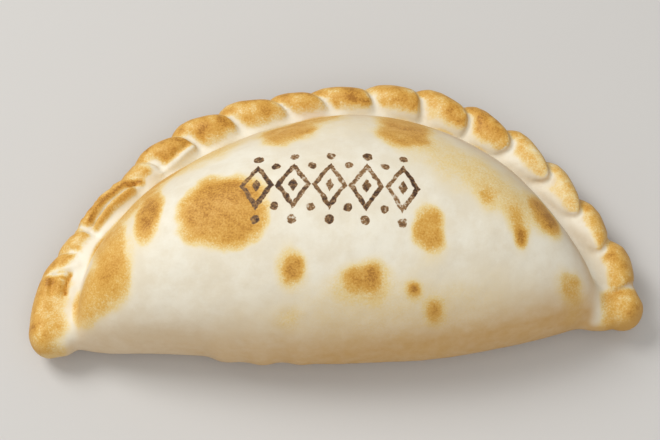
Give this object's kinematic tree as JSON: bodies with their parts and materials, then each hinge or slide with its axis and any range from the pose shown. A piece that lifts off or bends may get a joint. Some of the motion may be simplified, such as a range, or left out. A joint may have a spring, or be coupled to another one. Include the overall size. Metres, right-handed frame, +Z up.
{
  "type": "empanada",
  "caption": "Half-moon empanada, plump with filling, with a rope-folded rim and brown toasted spots on a pale baked crust.",
  "frame": {"origin": "centre of the bounding box in plan, at the level of the flat underside", "axes": "+X from the left tip to the right tip, +Y from the plump front fold to the middle of the folded rim, +Z up"},
  "size_m": [0.1278, 0.0668, 0.0345],
  "materials": {
    "crust": "baked wheat crust, matt to satin, cream with toasted brown spots"
  },
  "bodies": {
    "root": {"pastry": "crust"}
  },
  "joints": []
}
